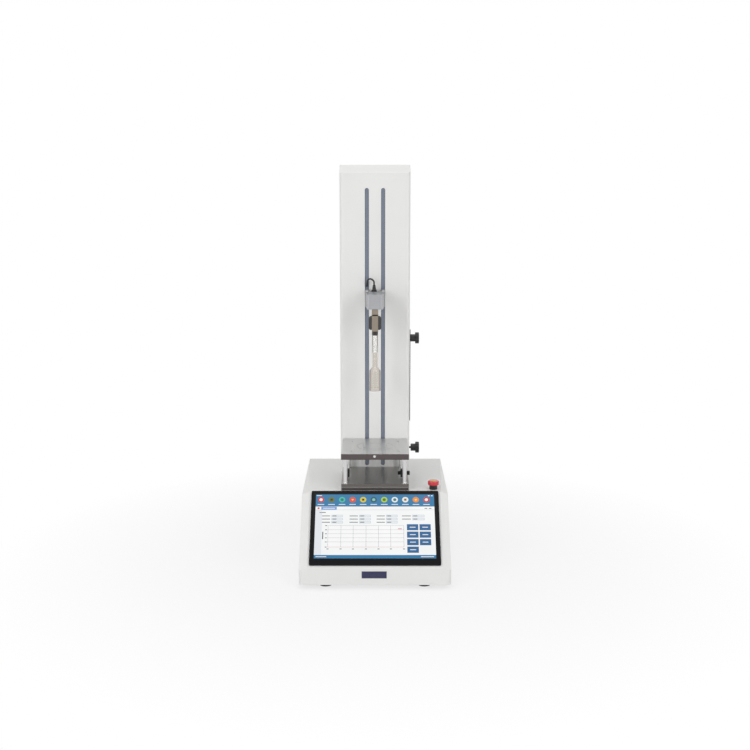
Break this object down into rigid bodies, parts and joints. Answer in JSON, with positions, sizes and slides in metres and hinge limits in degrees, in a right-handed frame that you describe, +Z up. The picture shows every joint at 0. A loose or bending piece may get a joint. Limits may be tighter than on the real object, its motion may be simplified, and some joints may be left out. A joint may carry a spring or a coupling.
{
  "type": "texture analyzer",
  "caption": "Single-column bench texture analyzer with sloped touch screen base, load cell crosshead, cylinder probe and raised test platform.",
  "frame": {"origin": "on the table, under the middle of the base, rear sockets included", "axes": "+X to the right seen from the front, +Y to the rear, +Z up along the column"},
  "size_m": [0.325, 0.4555, 0.896],
  "materials": {
    "cover_white": "fine powder coat",
    "chassis_steel": "zinc plated",
    "rubber_black": "matt",
    "bezel_black": "gloss",
    "screen_glass": "gloss",
    "dark_plastic": "matt",
    "red_plastic": "satin",
    "electronics": "matt",
    "zinc_sheet": "satin",
    "machined_aluminium": "satin",
    "drive_steel": "ground",
    "beam_grey": "anodised",
    "cell_steel": "brushed",
    "cell_cover_grey": "satin",
    "chrome": "polished",
    "probe_steel": "polished",
    "platform_steel": "brushed",
    "screw_steel": "zinc plated"
  },
  "bodies": {
    "frame": {"base_housing": "cover_white", "chassis_plate": "chassis_steel", "rubber_feet": "rubber_black", "display_bezel": "bezel_black", "display_glass": "screen_glass", "lcd_module": "zinc_sheet", "display_computer": "machined_aluminium", "estop_collar": "dark_plastic", "estop_contact_block": "dark_plastic", "socket_panel": "chassis_steel", "mains_inlet": "dark_plastic", "switch_frame": "dark_plastic", "data_ports": "zinc_sheet", "power_supply": "zinc_sheet", "controller_board": "electronics", "board_standoffs": "screw_steel", "drive_motor": "dark_plastic", "motor_plate": "machined_aluminium", "lower_screw_bearing": "drive_steel", "upper_screw_bearing": "drive_steel", "column_channel": "machined_aluminium", "guide_rails": "drive_steel", "column_front_cover": "cover_white", "column_back_cover": "cover_white", "back_cover_screws": "screw_steel", "stop_guide_strip": "machined_aluminium", "lower_platform_plate": "platform_steel", "platform_posts": "chrome", "upper_platform_plate": "platform_steel", "thumb_wheel_lugs": "platform_steel"},
    "crosshead": {"rail_carriages": "drive_steel", "carriage_plate": "machined_aluminium", "nut_bracket": "machined_aluminium", "ball_nut": "drive_steel", "carriage_arms": "machined_aluminium", "trip_flag": "zinc_sheet", "crosshead_beam": "beam_grey", "beam_screws": "screw_steel", "load_cell": "cell_steel", "gauge_covers": "cell_cover_grey", "cable_gland": "dark_plastic", "load_cell_lead": "rubber_black", "lead_socket": "dark_plastic", "cell_stud": "screw_steel", "lock_nut": "drive_steel", "probe_adapter": "chrome", "cylinder_probe": "probe_steel"},
    "drive_screw": {"ball_screw": "drive_steel", "shaft_coupling": "machined_aluminium", "motor_shaft": "drive_steel"},
    "estop_press_stem": {"estop_plunger": "dark_plastic"},
    "estop_button": {"estop_cap": "red_plastic"},
    "power_switch": {"power_rocker": "dark_plastic"},
    "upper_stop": {"upper_stop_block": "machined_aluminium"},
    "upper_stop_clamp": {"upper_stop_knob": "dark_plastic"},
    "lower_stop": {"lower_stop_block": "machined_aluminium"},
    "lower_stop_clamp": {"lower_stop_knob": "dark_plastic"},
    "left_wheel": {"left_thumb_wheel": "dark_plastic"},
    "right_wheel": {"right_thumb_wheel": "dark_plastic", "right_thumb_knob": "dark_plastic"}
  },
  "joints": [
    {"name": "crosshead_travel", "type": "slide", "parent": "frame", "child": "crosshead", "axis": [0, 0, 1], "range_m": [-0.128, 0.213]},
    {"name": "screw_spin", "type": "hinge", "parent": "frame", "child": "drive_screw", "pos_m": [0, 0.157, 0.5], "axis": [0, 0, 1], "range_deg": [-4648, 7708]},
    {"name": "estop_press", "type": "slide", "parent": "frame", "child": "estop_press_stem", "axis": [0, 0, -1], "range_m": [0, 0.004]},
    {"name": "estop_twist", "type": "hinge", "parent": "estop_press_stem", "child": "estop_button", "pos_m": [0.131, -0.0695, 0.19], "axis": [0, 0, 1], "range_deg": [0, 45], "stiffness_Nm_per_rad": 0.02},
    {"name": "power_rocker_tilt", "type": "hinge", "parent": "frame", "child": "power_switch", "pos_m": [-0.062, 0.2199, 0.07], "axis": [1, 0, 0], "range_deg": [-16, 0]},
    {"name": "upper_stop_slide", "type": "slide", "parent": "frame", "child": "upper_stop", "axis": [0, 0, 1], "range_m": [-0.189, 0.012]},
    {"name": "upper_stop_turn", "type": "hinge", "parent": "upper_stop", "child": "upper_stop_clamp", "pos_m": [0.09, 0.12, 0.4945], "axis": [1, 0, 0], "continuous": true},
    {"name": "lower_stop_slide", "type": "slide", "parent": "frame", "child": "lower_stop", "axis": [0, 0, 1], "range_m": [-0.014, 0.043]},
    {"name": "lower_stop_turn", "type": "hinge", "parent": "lower_stop", "child": "lower_stop_clamp", "pos_m": [0.09, 0.12, 0.2296], "axis": [1, 0, 0], "continuous": true},
    {"name": "left_wheel_turn", "type": "hinge", "parent": "frame", "child": "left_wheel", "pos_m": [-0.06, -0.03, 0.2048], "axis": [1, 0, 0], "continuous": true},
    {"name": "right_wheel_turn", "type": "hinge", "parent": "frame", "child": "right_wheel", "pos_m": [0.06, -0.03, 0.2048], "axis": [1, 0, 0], "continuous": true}
  ],
  "couplings": [
    {"joint": "screw_spin", "follows": "crosshead_travel", "rad_per_m": 628.32}
  ]
}
